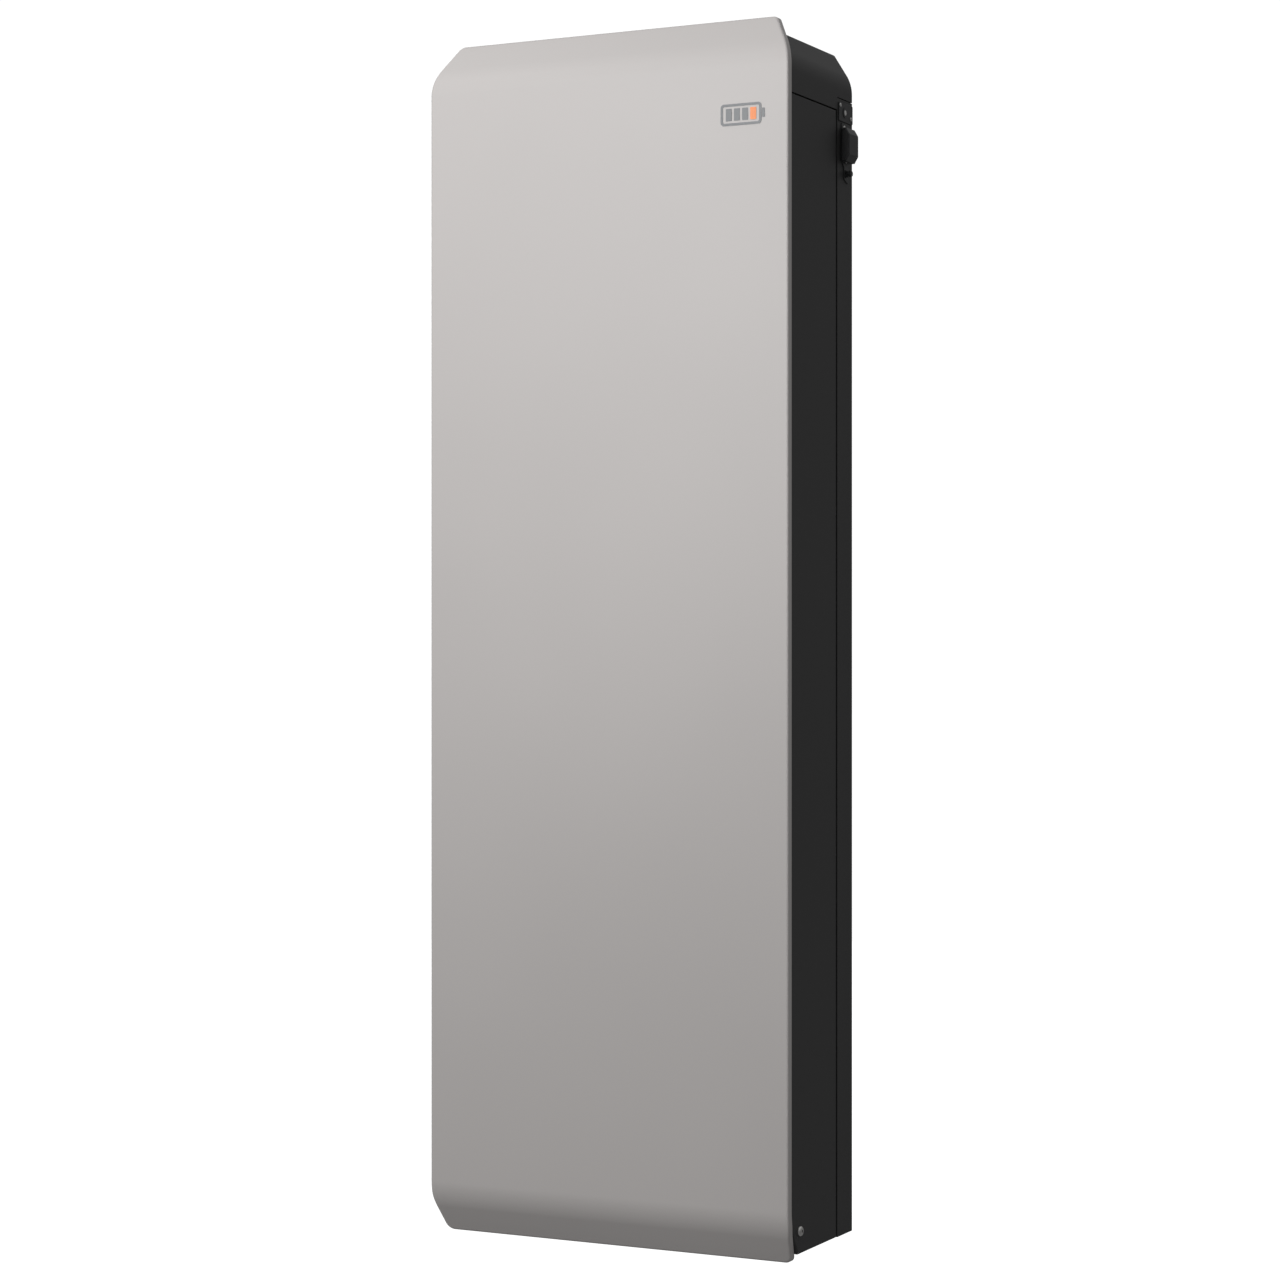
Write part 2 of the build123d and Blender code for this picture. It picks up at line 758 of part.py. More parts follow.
def switch_body():
    """The rotary disconnect inside the cabinet, with its terminals on the front."""
    inner = body_half - sheet - 0.1
    y, z = switch_y, switch_z
    body = block((inner - 70, inner), (y - 24, y + 24), (z - 30, z + 30))
    for level in range(4):
        x = inner - 14 - 16 * level
        body -= block((x - 1, x + 1), (y - 25, y - 18), (z - 31, z + 31))
    body -= along_x(disc((y, z), shaft_radius + running_gap), inner - 50, inner + 1)
    for screw_y, screw_z, radius in escutcheon_screw_spots():
        body -= along_x(disc((screw_y, screw_z), radius + 0.2), inner - 14, inner + 1)
    return body


def escutcheon_section():
    """Side view: a rounded plate behind the handle and a narrow tail for the lock pin."""
    top = switch_z + 36
    low = lock_pin_z - 14
    half = 15.5
    tail = 6.0
    waist = lock_pin_z + 8
    points = [(switch_y - tail, low + 6), (switch_y + tail + 3, low), (switch_y + tail + 3, waist),
              (switch_y + half, waist + 11), (switch_y + half, top), (switch_y - half, top),
              (switch_y - half, waist + 11), (switch_y - tail, waist)]
    return outline(points, [(points[0], 2), (points[1], 2), (points[4], 5), (points[5], 5)])


def switch_escutcheon():
    base = body_half + 0.05
    plate = along_x(escutcheon_section(), base, base + plate_thick)
    plate = chamfer(plate.faces().sort_by(Axis.X)[-1].edges(), 0.5)
    plate += along_x(disc((switch_y, lock_pin_z), 5.6), base + 1, base + 2.9)
    plate -= along_x(disc((switch_y, switch_z), shaft_radius + 0.3), base - 1, base + 6)
    plate -= along_x(disc((switch_y, lock_pin_z), 2.2 + running_gap), base - 1, base + 6)
    for y, z, radius in escutcheon_screw_spots():
        plate -= along_x(disc((y, z), radius + 0.1), base - 1, base + 6)
    return plate


def handle_section():
    """The grip seen from the front: its upper and lower outer corners are cut off."""
    height, chamfer_height, cut = handle_size[2], 9.5, 5.5
    base = body_half + handle_base
    tip = base + handle_size[0]
    low, high = switch_z + grip_rise - height / 2, switch_z + grip_rise + height / 2
    points = [(base, low), (base, high), (tip - cut, high), (tip, high - chamfer_height),
              (tip, low + chamfer_height), (tip - cut, low)]
    return outline(points, [(points[3], 2), (points[4], 2)])


def switch_handle():
    """A blocky grip that turns on the switch's shaft, above a round hub."""
    half = handle_size[1] / 2
    base = body_half + handle_base
    front, rear = switch_y - half - grip_reach, switch_y + half
    grip = along_y(handle_section(), front, rear)
    rim = grip.edges().filter_by(lambda edge: abs((edge @ 0.5).X - base) > 1.0)
    rim = ShapeList([edge for edge in rim if min(abs((edge @ 0.5).Y - end) for end in (front, rear)) < 0.01])
    grip = chamfer(rim, 1.2)
    grip += along_x(disc((switch_y, switch_z), 12), body_half + plate_thick + 0.3, base + 1)
    return grip - along_x(disc((switch_y, switch_z), shaft_radius), body_half, body_half + 11)


def switch_shaft():
    return along_x(disc((switch_y, switch_z), shaft_radius), body_half - 50, body_half + 10.9)


def lock_pin():
    """A spring-loaded pin that is pulled out to hang a padlock."""
    start = body_half + 3.0
    shank = along_x(disc((switch_y, lock_pin_z), 2.2), body_half - 16, start + 1)
    knob = along_x(disc((switch_y, lock_pin_z), 4.5), start + 0.1, start + 8)
    knob = chamfer(knob.faces().sort_by(Axis.X)[-1].edges(), 1)
    groove = along_x(disc((switch_y, lock_pin_z), 5) - disc((switch_y, lock_pin_z), 3.4), start + 2.2, start + 4)
    return shank + knob - groove


def button_bezel():
    base = body_half + 0.05
    plate = along_x(Pos(switch_y, button_z) * RectangleRounded(50, 27, 2.5), base, base + plate_thick)
    plate = chamfer(plate.faces().sort_by(Axis.X)[-1].edges(), 0.4)
    plate += along_x(disc((button_y, button_z), 7.5), base + 1, base + 2.4)
    plate -= along_x(disc((button_y, button_z), 4.05), base - 1, base + 6)
    plate += along_x(disc((button_y, button_z), 5.1) - disc((button_y, button_z), 4.05), base - 14, base + 1)
    for y, z, radius in bezel_screw_spots():
        plate -= along_x(disc((y, z), radius + 0.1), base - 1, base + 6)
    return plate


def switch_plate_screws():
    screws = []
    for y, z, radius in escutcheon_screw_spots():
        screws.append(side_screw((y, z), radius, 12, radius * 1.75, 1.4, body_half + plate_thick + 0.1))
    for y, z, radius in bezel_screw_spots():
        screws.append(side_screw((y, z), radius, 8, 2.8, 1.4, body_half + plate_thick + 0.1))
    return group(screws)


def wake_button():
    """A stainless push button in the bezel."""
    stem = along_x(disc((button_y, button_z), 3.95), body_half - 10, body_half + 2.6)
    return fillet(stem.faces().sort_by(Axis.X)[-1].edges(), 0.8)


def cover_screws():
    screw = side_screw(cover_screw_spot, cover_screw_radius, 14, 7.2, 4.4, body_half + 0.05)
    return group(both_sides(screw))


def cap_screws():
    screws = []
    for spot in cap_screw_spots():
        screw = pan_screw(spot, 2.5, 9, 0)
        screws.append(Pos(0, rear_depth + 0.05, 0) * Rot(0, 0, 180) * Pos(-2 * spot[0], 0, 0) * screw)
    return group(screws)


def inner_panel_screws():
    start = body_front - gasket_thick - sheet - 0.05
    return group([pan_screw(spot, panel_screw, 12, start) for spot in panel_screw_spots()])


# Write every piece -------------------------------------------------------------------------------

def main():
    os.makedirs("parts", exist_ok=True)
    pieces = {
        "front_cover": front_cover(),
        "cover_side_tabs": cover_side_tabs(),
        "cover_studs": group([stud(spot) for spot in stud_spots()]),
        "badge": group(badge_outline() + badge_bars((0, 1, 2))),
        "badge_charge_bar": group(badge_bars((3,))),
        "top_cap": top_cap(),
        "cap_screws": cap_screws(),
        "right_side_panel": side_panel(),
        "left_side_panel": mirror(side_panel(), Plane.YZ),
        "cover_screws": cover_screws(),
        "bottom_panel": bottom_panel(),
        "rear_chassis": rear_chassis(),
        "inner_front_panel": inner_front_panel(),
        "front_gasket": front_gasket(),
        "inner_panel_screws": inner_panel_screws(),
        "stud_grommets": group([stud_grommet(spot) for spot in stud_spots()]),
        "conduit_hubs": group([conduit_hub(spot) for spot in hub_spots]),
        "hub_locknuts": group([hub_nut(spot) for spot in hub_spots]),
        "conduit_plug": conduit_plug(),
        "breather_vent": breather_vent(),
        "upper_wall_rail": upper_wall_rail(),
        "hanging_cleat": hanging_cleat(),
        "lower_wall_rail": lower_wall_rail(),
        "lower_rail_screws": lower_rail_screws(),
        "module_terminals": module_terminals(),
        "module_links": module_links(),
        "retaining_bars": retaining_bars(),
        "electronics_plate": electronics_plate(),
        "plate_standoffs": plate_standoffs(),
        "positive_contactor": contactor(-60.0),
        "negative_contactor": contactor(20.0),
        "control_board": control_board(),
        "board_parts": board_parts(),
        "fuse_base": fuse_base(),
        "fuse_carrier": fuse_carrier(),
        "fuse_link": fuse_link(),
        "choke_core": choke_core(),
        "choke_windings": choke_windings(),
        "terminal_block": terminal_block(),
        "terminal_rail": terminal_rail(),
        "ground_bar": ground_bar(),
        "signal_harness": signal_harness(),
        "harness_clips": harness_clips(),
        "switch_body": switch_body(),
        "switch_escutcheon": switch_escutcheon(),
        "switch_handle": switch_handle(),
        "switch_shaft": switch_shaft(),
        "lock_pin": lock_pin(),
        "button_bezel": button_bezel(),
        "switch_plate_screws": switch_plate_screws(),
        "wake_button": wake_button(),
    }
    names = ("lower", "middle", "upper")
    for name, level in zip(names, shelf_levels):
        pieces[name + "_shelf"] = shelf(level)
        for side, front in zip(("front", "rear"), module_fronts):
            pieces[name + "_" + side + "_module"] = module_case(front, level)
    for name, piece in pieces.items():
        save(name, piece)


main()
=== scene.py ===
import bmesh
import bpy
import json
import math
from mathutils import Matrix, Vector


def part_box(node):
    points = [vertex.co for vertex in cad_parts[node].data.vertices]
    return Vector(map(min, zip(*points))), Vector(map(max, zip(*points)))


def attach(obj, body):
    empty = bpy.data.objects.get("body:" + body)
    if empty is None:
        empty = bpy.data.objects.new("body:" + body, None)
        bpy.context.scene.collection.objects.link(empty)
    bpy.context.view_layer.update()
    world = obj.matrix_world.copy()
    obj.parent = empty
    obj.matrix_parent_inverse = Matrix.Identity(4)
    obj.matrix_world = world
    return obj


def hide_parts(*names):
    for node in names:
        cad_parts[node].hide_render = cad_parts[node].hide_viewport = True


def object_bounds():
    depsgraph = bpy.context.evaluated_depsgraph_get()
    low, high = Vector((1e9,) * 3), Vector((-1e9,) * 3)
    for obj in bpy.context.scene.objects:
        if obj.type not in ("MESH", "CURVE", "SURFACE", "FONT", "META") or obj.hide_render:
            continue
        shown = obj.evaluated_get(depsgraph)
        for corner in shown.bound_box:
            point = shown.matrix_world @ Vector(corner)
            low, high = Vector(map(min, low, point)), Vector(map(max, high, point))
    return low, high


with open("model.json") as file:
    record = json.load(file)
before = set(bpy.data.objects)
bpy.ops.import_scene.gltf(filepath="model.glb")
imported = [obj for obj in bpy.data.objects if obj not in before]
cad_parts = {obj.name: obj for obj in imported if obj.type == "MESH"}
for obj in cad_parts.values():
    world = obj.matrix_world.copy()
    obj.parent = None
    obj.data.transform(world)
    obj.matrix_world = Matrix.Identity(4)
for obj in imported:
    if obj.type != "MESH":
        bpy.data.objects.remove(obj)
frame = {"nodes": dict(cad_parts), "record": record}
cad_box = [list(corner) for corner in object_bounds()]

MM = 0.001

# Places, read from the CAD frame (metres; +Y goes into the wall)
cover_low, cover_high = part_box("front_cover")
cap_low, cap_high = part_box("top_cap")
panel_low, panel_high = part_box("right_side_panel")
chassis_low, chassis_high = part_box("rear_chassis")

half_width = cover_high.x
half_height = cover_high.z
front_y = cover_low.y
rear_y = cap_high.y
body_half = panel_high.x

# The cover's shape, as the CAD part has it
RETURN = 12 * MM
LEAN_HEIGHT = 54 * MM
LEAN_DEPTH = 34 * MM
LEAN_RADIUS = 76 * MM
TAPER_HEIGHT = 54 * MM
TAPER_RADIUS = 76 * MM
TOP_TAPER = 32 * MM
BOTTOM_TAPER = 10 * MM
CORNER_RADIUS = 12 * MM
EDGE_RADIUS = 3 * MM
COVER_SHEET = 1.5 * MM
BODY_SHEET = 2 * MM
SEAL_GAP = 1.5 * MM
BEND_EDGE = 2.2 * MM
CAP_CHAMFER = (28 * MM, 44.5 * MM)
CAP_ROUND = 55 * MM
CAP_TIP_ROUND = 4 * MM
PANEL_FLANGE = 20 * MM
CHASSIS_LEDGE = 10 * MM
EDGE_SUPPORT = 0.8 * MM

# Where the cabinet's sheets meet. BACKING is how far the strip behind the bottom seam reaches to each
# side of the seam; its front edge is the rear chassis's foremost point.
BACKING = (3.2 * MM, 10 * MM)
CAP_OVERLAP = 16.5 * MM
JOINT_GAP = 1.5 * MM
STRIP_HALF = 268 * MM
STRIP_LOW = 740 * MM
STRIP_GAP = 0.1 * MM
seam_y = chassis_low.y + BACKING[0]
chassis_top = cap_low.z + CAP_OVERLAP
rear_seam = chassis_top + JOINT_GAP
notch_low, notch_high = -833.4 * MM, -805.4 * MM

# Camera: its place, its turn about the vertical in degrees, its lens and sensor in mm, its upward shift
EYE = (1.9713, -4.0590, 0.0039)
AZIMUTH = 26.71
LENS = 85.3
SENSOR = 36.0
SHIFT = -0.003
FAR_CLIP = 100.0

# Studio: the dome's strength at the horizon and overhead, and the share of it that is left to the right.
# The floor lies far enough down for the unit's underside to be seen.
FLOOR_DROP = 3.6
FLOOR_RADIUS = 40.0
FLOOR_SIDES = 96
FLOOR_GLOW = 0.75
DOME_LOW, DOME_HIGH = 0.205, 0.60
DOME_RIGHT = 0.74
BACKGROUND = 1.05
WHITE = (1.0, 1.0, 1.0, 1.0)
# name, place, aim, size, power
SOFTBOXES = (
    ("key", (-0.35, -2.3, 1.0), (-0.1, -0.25, 0.6), (1.3, 1.0), 35.8),
    ("ridge", (-1.40, -2.17, 2.65), (0.0, -0.25, 0.81), (1.1, 0.14), 7.0),
)


# Materials ---------------------------------------------------------------------------------------

class Nodes:
    """A small helper that adds nodes to a material and links them."""

    def __init__(self, name):
        self.material = bpy.data.materials.new(name)
        self.material.use_nodes = True
        self.tree = self.material.node_tree
        self.shader = self.tree.nodes["Principled BSDF"]

    def add(self, kind, inputs=None, **settings):
        node = self.tree.nodes.new(kind)
        for key, value in settings.items():
            setattr(node, key, value)
        for key, value in (inputs or {}).items():
            self.feed(node.inputs[key], value)
        return node

    def feed(self, socket, value):
        if isinstance(value, bpy.types.NodeSocket):
            self.tree.links.new(value, socket)
        else:
            socket.default_value = value

    def noise(self, scale, detail=3.0, rough=0.5, stretch=None):
        place = self.add("ShaderNodeTexCoord").outputs["Object"]
        if stretch:
            place = self.add("ShaderNodeMapping", {"Vector": place, "Scale": stretch}).outputs["Vector"]
        return self.add("ShaderNodeTexNoise", {
            "Vector": place, "Scale": scale, "Detail": detail, "Roughness": rough,
        }).outputs["Fac"]

    def cells(self, scale, feature="F1"):
        place = self.add("ShaderNodeTexCoord").outputs["Object"]
        node = self.add("ShaderNodeTexVoronoi", {"Vector": place, "Scale": scale}, feature=feature)
        return node.outputs["Distance"]

    def spread(self, factor, low, high, start=0.0, end=1.0):
        """Maps a factor from start..end to low..high."""
        return self.add("ShaderNodeMapRange", {
            "Value": factor, "From Min": start, "From Max": end, "To Min": low, "To Max": high,
        }).outputs["Result"]

    def blend(self, factor, first, second):
        mix = self.add("ShaderNodeMix", data_type="RGBA")
        self.feed(mix.inputs[0], factor)
        self.feed(mix.inputs[6], (*first, 1.0))
        self.feed(mix.inputs[7], (*second, 1.0))
        return mix.outputs[2]

    def bump(self, height, distance, strength=1.0, under=None):
        inputs = {"Height": height, "Distance": distance, "Strength": strength}
        if under is not None:
            inputs["Normal"] = under
        return self.add("ShaderNodeBump", inputs).outputs["Normal"]


def cover_paint():
    """Satin warm grey paint with a faint orange peel and a little uneven sheen."""
    m = Nodes("cover_paint")
    cloud = m.noise(2.2, 2.0, 0.4)
    colour = m.blend(m.spread(cloud, 0, 1, 0.35, 0.65), (0.515, 0.492, 0.482), (0.535, 0.511, 0.500))
    m.feed(m.shader.inputs["Base Color"], colour)
    fleck = m.noise(420, 2.0, 0.6)
    m.feed(m.shader.inputs["Roughness"], m.spread(fleck, 0.50, 0.58))
    peel = m.noise(260, 2.0, 0.45)
    grain = m.noise(1500, 1.0, 0.5)
    under = m.bump(peel, 0.00004, 0.35)
    m.feed(m.shader.inputs["Normal"], m.bump(grain, 0.00001, 0.25, under))
    m.shader.inputs["Metallic"].default_value = 0.0
    m.shader.inputs["Specular IOR Level"].default_value = 0.5
    m.shader.inputs["Coat Weight"].default_value = 0.05
    m.shader.inputs["Coat Roughness"].default_value = 0.28
    return m.material


def powder_coat():
    """Black fine-textured powder coat: small hard pebbles, with a painted highlight that lightens their tips.
    """
    m = Nodes("black_powder_coat")
    pebble = m.noise(900, 3.0, 0.55)
    spot = m.cells(700)
    # Painted highlight: the colour is lighter where the pebbles stand highest, as if their tips caught the
    # light.
    colour = m.blend(m.spread(pebble, 0, 1, 0.42, 0.72), (0.0255, 0.0255, 0.026), (0.052, 0.052, 0.052))
    m.feed(m.shader.inputs["Base Color"], colour)
    m.feed(m.shader.inputs["Roughness"], m.spread(pebble, 0.48, 0.66))
    under = m.bump(pebble, 0.00022, 0.55)
    m.feed(m.shader.inputs["Normal"], m.bump(spot, 0.00012, 0.35, under))
    m.shader.inputs["Specular IOR Level"].default_value = 0.45
    return m.material


def moulded_plastic(name, dark, light, rough, grain=1400):
    """Moulded plastic with a fine spark-eroded grain."""
    m = Nodes(name)
    fine = m.noise(grain, 2.0, 0.6)
    m.feed(m.shader.inputs["Base Color"], m.blend(fine, dark, light))
    m.feed(m.shader.inputs["Roughness"], m.spread(fine, rough - 0.06, rough + 0.08))
    m.feed(m.shader.inputs["Normal"], m.bump(fine, 0.00006, 0.4))
    return m.material


def brushed_metal(name, colour, rough, stretch=(1, 1, 14)):
    """Metal with fine tool marks along one direction."""
    m = Nodes(name)
    streak = m.noise(600, 3.0, 0.6, stretch)
    darker = tuple(0.82 * c for c in colour)
    m.feed(m.shader.inputs["Base Color"], m.blend(streak, darker, colour))
    m.feed(m.shader.inputs["Roughness"], m.spread(streak, rough - 0.07, rough + 0.1))
    m.feed(m.shader.inputs["Normal"], m.bump(streak, 0.00003, 0.35))
    m.shader.inputs["Metallic"].default_value = 1.0
    return m.material


def galvanised():
    """Zinc coat with large soft spangles."""
    m = Nodes("galvanised_steel")
    place = m.add("ShaderNodeTexCoord").outputs["Object"]
    spangle = m.add("ShaderNodeTexVoronoi", {"Vector": place, "Scale": 70.0}).outputs["Color"]
    grey = m.add("ShaderNodeRGBToBW", {"Color": spangle}).outputs["Val"]
    m.feed(m.shader.inputs["Base Color"], m.blend(grey, (0.44, 0.45, 0.46), (0.60, 0.61, 0.62)))
    m.feed(m.shader.inputs["Roughness"], m.spread(grey, 0.34, 0.52))
    m.feed(m.shader.inputs["Normal"], m.bump(m.noise(500), 0.00003, 0.3))
    m.shader.inputs["Metallic"].default_value = 0.9
    return m.material


def seal_rubber():
    """Closed-cell foam rubber."""
    m = Nodes("seal_rubber")
    foam = m.cells(900)
    m.feed(m.shader.inputs["Base Color"], m.blend(foam, (0.012, 0.012, 0.012), (0.03, 0.03, 0.031)))
    m.feed(m.shader.inputs["Roughness"], m.spread(foam, 0.72, 0.9))
    m.feed(m.shader.inputs["Normal"], m.bump(foam, 0.0001, 0.5))
    return m.material


def printed(name, dark, light):
    """A printed film with a slight mottle."""
    m = Nodes(name)
    mottle = m.noise(700, 2.0, 0.6)
    m.feed(m.shader.inputs["Base Color"], m.blend(mottle, dark, light))
    m.feed(m.shader.inputs["Roughness"], m.spread(mottle, 0.32, 0.46))
    m.feed(m.shader.inputs["Normal"], m.bump(mottle, 0.00001, 0.2))
    return m.material


def circuit_board():
    """Green board with a faint pattern of tracks."""
    m = Nodes("circuit_board")
    place = m.add("ShaderNodeTexCoord").outputs["Object"]
    brick = m.add("ShaderNodeTexBrick", {"Vector": place, "Scale": 160.0, "Mortar Size": 0.02})
    tracks = brick.outputs["Fac"]
    m.feed(m.shader.inputs["Base Color"], m.blend(tracks, (0.015, 0.12, 0.05), (0.03, 0.24, 0.10)))
    m.feed(m.shader.inputs["Roughness"], m.spread(m.noise(300), 0.3, 0.42))
    m.feed(m.shader.inputs["Normal"], m.bump(tracks, 0.00005, 0.3))
    return m.material


materials = {
    "cover_paint": cover_paint(),
    "black_powder_coat": powder_coat(),
    "badge_grey": printed("badge_grey", (0.125, 0.133, 0.142), (0.155, 0.163, 0.172)),
    "badge_orange": printed("badge_orange", (0.80, 0.20, 0.028), (0.88, 0.245, 0.04)),
    "stainless_steel": brushed_metal("stainless_steel", (0.70, 0.695, 0.68), 0.27),
    "galvanised_steel": galvanised(),
    "seal_rubber": seal_rubber(),
    "black_plastic": moulded_plastic("black_plastic", (0.014, 0.015, 0.016), (0.024, 0.025, 0.026), 0.46),
    "hub_alloy": brushed_metal("hub_alloy", (0.58, 0.58, 0.58), 0.42, (1, 1, 1)),
    "module_shell": moulded_plastic("module_shell", (0.09, 0.095, 0.10), (0.125, 0.13, 0.135), 0.5),
    "copper": brushed_metal("copper", (0.72, 0.40, 0.22), 0.3, (1, 6, 1)),
    "contactor_plastic": moulded_plastic(
        "contactor_plastic", (0.045, 0.045, 0.05), (0.07, 0.07, 0.075), 0.42),
    "circuit_board": circuit_board(),
    "board_components": moulded_plastic("board_components", (0.03, 0.03, 0.033), (0.055, 0.055, 0.06), 0.4),
    "fuse_ceramic": moulded_plastic("fuse_ceramic", (0.74, 0.72, 0.66), (0.82, 0.80, 0.74), 0.28),
    "cable_sheath": moulded_plastic("cable_sheath", (0.02, 0.02, 0.021), (0.035, 0.035, 0.036), 0.5),
}

slot_of_node = {item["node"]: item["material_slot"] for item in frame["record"]["subparts"]}
for node, piece in frame["nodes"].items():
    piece.data.materials.clear()
    piece.data.materials.append(materials[slot_of_node[node]])


# Mesh helpers ------------------------------------------------------------------------------------

def finish_mesh(name, verts, faces, slot, body, replaced, sharp=32.0):
    """Makes the object, cleans it, and gives it its slot and its body."""
    mesh = bpy.data.meshes.new(name)
    mesh.from_pydata([tuple(v) for v in verts], [], faces)
    work = bmesh.new()
    work.from_mesh(mesh)
    bmesh.ops.remove_doubles(work, verts=work.verts, dist=1e-6)
    bmesh.ops.recalc_face_normals(work, faces=work.faces)
    work.to_mesh(mesh)
    work.free()
    mesh.shade_smooth()
    mesh.set_sharp_from_angle(angle=math.radians(sharp))
    piece = bpy.data.objects.new(name, mesh)
    bpy.context.scene.collection.objects.link(piece)
    piece.data.materials.append(materials[slot])
    if replaced:
        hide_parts(*replaced)
    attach(piece, body)
    return piece


def rounded_chain(corners, step=4.0):
    """Points along an open run of (u, v, radius) corners, with each corner turned into an arc."""
    points = []
    for i, (u, v, radius) in enumerate(corners):
        here = Vector((u, v))
        if radius <= 0 or i in (0, len(corners) - 1):
            points.append(here)
            continue
        back = (Vector(corners[i - 1][:2]) - here).normalized()
        ahead = (Vector(corners[i + 1][:2]) - here).normalized()
        half = math.acos(max(-1.0, min(1.0, back.dot(ahead)))) / 2
        turn = math.pi - 2 * half
        centre = here + (back + ahead).normalized() * (radius / math.sin(half))
        start = here + back * (radius / math.tan(half)) - centre
        side = 1 if start.x * ahead.y - start.y * ahead.x > 0 else -1
        count = max(2, round(math.degrees(turn) / step))
        for k in range(count + 1):
            angle = side * turn * k / count
            points.append(centre + Vector((
                start.x * math.cos(angle) - start.y * math.sin(angle),
                start.x * math.sin(angle) + start.y * math.cos(angle),
            )))
    return points


def offset_inward(points, inset):
    """Moves a closed anticlockwise outline inward, mitred at its corners."""
    moved = []
    count = len(points)
    for i in range(count):
        before = (points[i] - points[i - 1]).normalized()
        after = (points[(i + 1) % count] - points[i]).normalized()
        normal = Vector((-before.y - after.y, before.x + after.x))
        if normal.length < 1e-9:
            normal = Vector((-before.y, before.x))
        normal.normalize()
        reach = normal.dot(Vector((-before.y, before.x)))
        moved.append(points[i] + normal * (inset / max(reach, 0.3)))
    return moved


def offset_chain(points, inset):
    """Moves an open run of points to its left. Its two ends keep the direction of their own segment."""
    moved = []
    last = len(points) - 1
    for i, point in enumerate(points):
        before = (points[max(i, 1)] - points[max(i, 1) - 1]).normalized()
        after = (points[min(i, last - 1) + 1] - points[min(i, last - 1)]).normalized()
        normal = Vector((-before.y - after.y, before.x + after.x)).normalized()
        reach = normal.dot(Vector((-before.y, before.x)))
        moved.append(point + normal * (inset / reach))
    return moved


def fold_rings(radius, thickness, ends=(), steps=6):
    """Rings that turn a sheet over a rounded fold, face first, then along the folded wall to each end.

    Each is ((inset, depth) of the outer skin, (inset, depth) of the inner one).
    """
    inner = radius - thickness
    rings = [((radius + EDGE_SUPPORT, 0.0), (radius + EDGE_SUPPORT, thickness))]
    for k in range(steps + 1):
        angle = math.pi / 2 * k / steps
        across, down = 1 - math.sin(angle), 1 - math.cos(angle)
        outside = (radius * across, radius * down)
        rings.append((outside, (thickness + inner * across, thickness + inner * down)))
    for end in (radius + EDGE_SUPPORT, *ends):
        rings.append(((0.0, end), (thickness, end)))
    return rings


def folded_sheet(name, outer, inner, faces, slot, body, replaced):
    """Closes an outer and an inner skin of matching points into one sheet with a wall."""
    count = len(outer)
    open_edges = {}
    for face in faces:
        for a, b in zip(face, face[1:] + face[:1]):
            key = (min(a, b), max(a, b))
            open_edges[key] = None if key in open_edges else (a, b)
    walls = [(pair[1], pair[0], pair[0] + count, pair[1] + count) for pair in open_edges.values() if pair]
    inside = [tuple(count + i for i in reversed(face)) for face in faces]
    return finish_mesh(name, outer + inner, list(faces) + inside + walls, slot, body, replaced)


def split_at(points, levels, closed=True):
    """Adds points to an outline of (across, up) where it crosses the given heights."""
    result = []
    count = len(points)
    for i in range(count if closed else count - 1):
        here, there = points[i], points[(i + 1) % count]
        result.append(here)
        low, high = sorted((here.y, there.y))
        crossed = [z for z in levels if low + 1e-6 < z < high - 1e-6]
        for z in sorted(crossed, reverse=here.y > there.y):
            result.append(here.lerp(there, (z - here.y) / (there.y - here.y)))
    if not closed:
        result.append(points[-1])
    return result


def ring_strips(rings, count, closed=True, skip=None):
    """Quads between successive rings of count points. skip(ring, point) leaves one out."""
    faces = []
    for ring in range(rings - 1):
        for i in range(count if closed else count - 1):
            if skip and skip(ring, i):
                continue
            j = (i + 1) % count
            faces.append((ring * count + i, ring * count + j, (ring + 1) * count + j, (ring + 1) * count + i))
    return faces


def mirrored_rows(start, count, skip=None):
    """Horizontal quads that fill a ring whose second half mirrors its first."""
    faces = []
    for i in range(count // 2 - 1):
        if skip and skip(i):
            continue
        faces.append((start + i, start + i + 1, start + count - 2 - i, start + count - 1 - i))
    return faces


# The lean of the front, shared by the cover and by the sheets behind it ---------------------------

LEAN_ANGLE = math.atan2(LEAN_DEPTH, LEAN_HEIGHT)
bend_z = half_height - LEAN_HEIGHT
bend_start = bend_z - LEAN_RADIUS * math.tan(LEAN_ANGLE / 2)
bend_end = bend_start + LEAN_RADIUS * math.sin(LEAN_ANGLE)
bend_levels = [bend_start + LEAN_RADIUS * math.sin(LEAN_ANGLE * k / 16) for k in range(17)]
lean_levels = sorted([-z for z in bend_levels] + bend_levels)


def lean_at(z):
    """How far the front lies behind its front plane at a height."""
    height = abs(z)
    if height <= bend_start:
        return 0.0
    if height >= bend_end:
        return (height - bend_z) * math.tan(LEAN_ANGLE)
    return LEAN_RADIUS - math.sqrt(LEAN_RADIUS ** 2 - (height - bend_start) ** 2)


# Front cover -------------------------------------------------------------------------------------

def front_cover():
    """One folded pan: a flat face, ends that lean back, and a return all round."""
    taper_z = half_height - TAPER_HEIGHT
    corners = [
        (0.0, -half_height, 0.0),
        (half_width - BOTTOM_TAPER, -half_height, CORNER_RADIUS),
        (half_width, -taper_z, TAPER_RADIUS),
        (half_width, taper_z, TAPER_RADIUS),
        (half_width - TOP_TAPER, half_height, CORNER_RADIUS),
        (0.0, half_height, 0.0),
    ]
    right = split_at(rounded_chain(corners, 3.0)[1:-1], lean_levels, closed=False)
    outline = right + [Vector((-p.x, p.y)) for p in reversed(right)]
    rings = fold_rings(EDGE_RADIUS, COVER_SHEET, (RETURN,))
    skins = [[], []]
    for ring in rings:
        for skin, (inset, depth) in zip(skins, ring):
            skin += [(p.x, front_y + lean_at(p.y) + depth, p.y) for p in offset_inward(outline, inset)]
    count = len(outline)
    faces = ring_strips(len(rings), count) + mirrored_rows(0, count)
    folded_sheet("cover_pan", *skins, faces, "cover_paint", "cover", ["front_cover"])


# Cabinet sheet metal -----------------------------------------------------------------------------

